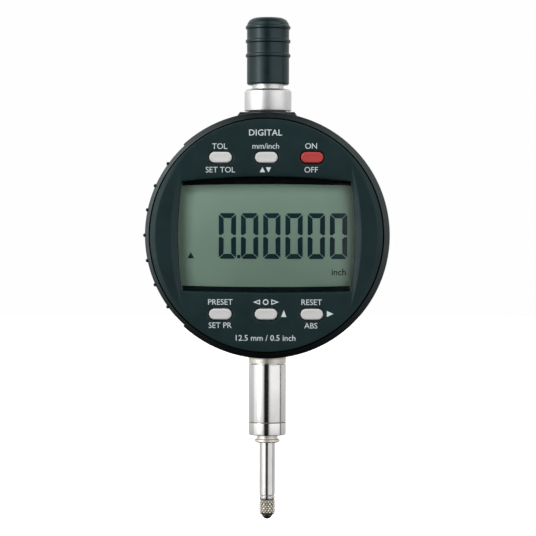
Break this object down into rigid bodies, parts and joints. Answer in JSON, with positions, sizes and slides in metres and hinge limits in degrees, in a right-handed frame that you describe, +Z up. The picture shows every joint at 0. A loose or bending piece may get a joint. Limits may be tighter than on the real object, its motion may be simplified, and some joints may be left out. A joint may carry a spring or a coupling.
{
  "type": "dial indicator",
  "caption": "Digital dial indicator: round black body with a turnable LCD unit and pill keys, plated stem, spring-loaded spindle with ball contact, ribbed lifting cap.",
  "frame": {"origin": "middle of the clamping length of the stem, on the spindle axis", "axes": "+Z up along the spindle towards the lifting cap, -Y out of the display, +X to the right of the display"},
  "size_m": [0.0617, 0.0271, 0.1283],
  "materials": {
    "case_black": "satin moulded black",
    "shell_black": "satin moulded black with a green cast",
    "cap_black": "semi-gloss black",
    "bright_steel": "ground and polished steel",
    "satin_metal": "satin turned aluminium",
    "warm_metal": "nickel, warm tone",
    "contact_brass": "bronze",
    "carbide": "dark polished carbide",
    "key_white": "light grey",
    "key_red": "red",
    "lcd": "grey-green reflective LCD",
    "window": "clear",
    "dark_plastic": "black",
    "board": "green solder mask",
    "rubber": "soft",
    "zinc": "zinc plated"
  },
  "bodies": {
    "case": {"case_housing": "case_black", "back_cover": "case_black", "cover_screw_1": "zinc", "cover_screw_2": "zinc", "cover_screw_3": "zinc", "cover_screw_4": "zinc", "cover_gasket": "rubber", "battery_cell": "bright_steel", "battery_contact_front": "contact_brass", "battery_contact_side": "contact_brass", "display_friction_ring": "rubber", "stem": "bright_steel", "stem_collar": "warm_metal", "guide_bush": "warm_metal", "stem_upper_bush": "contact_brass", "travel_bumper": "rubber", "top_collar": "satin_metal", "guide_tube": "bright_steel", "chassis_plate": "zinc", "chassis_screw_1": "zinc", "chassis_screw_2": "zinc", "chassis_screw_3": "zinc", "chassis_screw_4": "zinc", "read_head_board": "board", "guide_rail": "bright_steel"},
    "display": {"display_shell": "shell_black", "window_lens": "window", "lcd_frame": "dark_plastic", "lcd_panel": "lcd", "zebra_strip_upper": "rubber", "zebra_strip_lower": "rubber", "key_mat_top": "rubber", "key_mat_bottom": "rubber", "main_board": "board", "main_board_chip": "dark_plastic", "display_back_plate": "dark_plastic", "display_screw_1": "zinc", "display_screw_2": "zinc", "display_screw_3": "zinc", "display_screw_4": "zinc", "display_snap_ring": "bright_steel"},
    "spindle_unit": {"spindle": "bright_steel", "contact_point": "warm_metal", "contact_ball": "carbide", "lift_cap": "cap_black", "cap_screw": "zinc", "carrier": "zinc", "carrier_clamp_screw": "bright_steel", "anti_rotation_pin": "bright_steel", "scale_plate": "window", "return_spring": "bright_steel"},
    "battery_lid": {"battery_lid": "case_black"},
    "key_top_left": {"key_top_left": "key_white"},
    "key_top_middle": {"key_top_middle": "key_white"},
    "key_top_right": {"key_top_right": "key_red"},
    "key_bottom_left": {"key_bottom_left": "key_white"},
    "key_bottom_middle": {"key_bottom_middle": "key_white"},
    "key_bottom_right": {"key_bottom_right": "key_white"}
  },
  "joints": [
    {"name": "spindle_slide", "type": "slide", "parent": "case", "child": "spindle_unit", "axis": [0, 0, 1], "range_m": [0, 0.0125], "stiffness_N_per_m": 20, "springref_m": -0.0325, "deforming": ["return_spring"]},
    {"name": "display_turn", "type": "hinge", "parent": "case", "child": "display", "pos_m": [0, -0.01, 0.0404], "axis": [0, 1, 0], "range_deg": [-140, 140]},
    {"name": "battery_lid_turn", "type": "hinge", "parent": "case", "child": "battery_lid", "pos_m": [-0.017, 0.009, 0.0354], "axis": [0, 1, 0], "range_deg": [0, 90]},
    {"name": "key_top_left_press", "type": "slide", "parent": "display", "child": "key_top_left", "axis": [0, 1, 0], "range_m": [0, 0.0005], "stiffness_N_per_m": 800, "springref_m": -0.0005},
    {"name": "key_top_middle_press", "type": "slide", "parent": "display", "child": "key_top_middle", "axis": [0, 1, 0], "range_m": [0, 0.0005], "stiffness_N_per_m": 800, "springref_m": -0.0005},
    {"name": "key_top_right_press", "type": "slide", "parent": "display", "child": "key_top_right", "axis": [0, 1, 0], "range_m": [0, 0.0005], "stiffness_N_per_m": 800, "springref_m": -0.0005},
    {"name": "key_bottom_left_press", "type": "slide", "parent": "display", "child": "key_bottom_left", "axis": [0, 1, 0], "range_m": [0, 0.0005], "stiffness_N_per_m": 800, "springref_m": -0.0005},
    {"name": "key_bottom_middle_press", "type": "slide", "parent": "display", "child": "key_bottom_middle", "axis": [0, 1, 0], "range_m": [0, 0.0005], "stiffness_N_per_m": 800, "springref_m": -0.0005},
    {"name": "key_bottom_right_press", "type": "slide", "parent": "display", "child": "key_bottom_right", "axis": [0, 1, 0], "range_m": [0, 0.0005], "stiffness_N_per_m": 800, "springref_m": -0.0005}
  ]
}
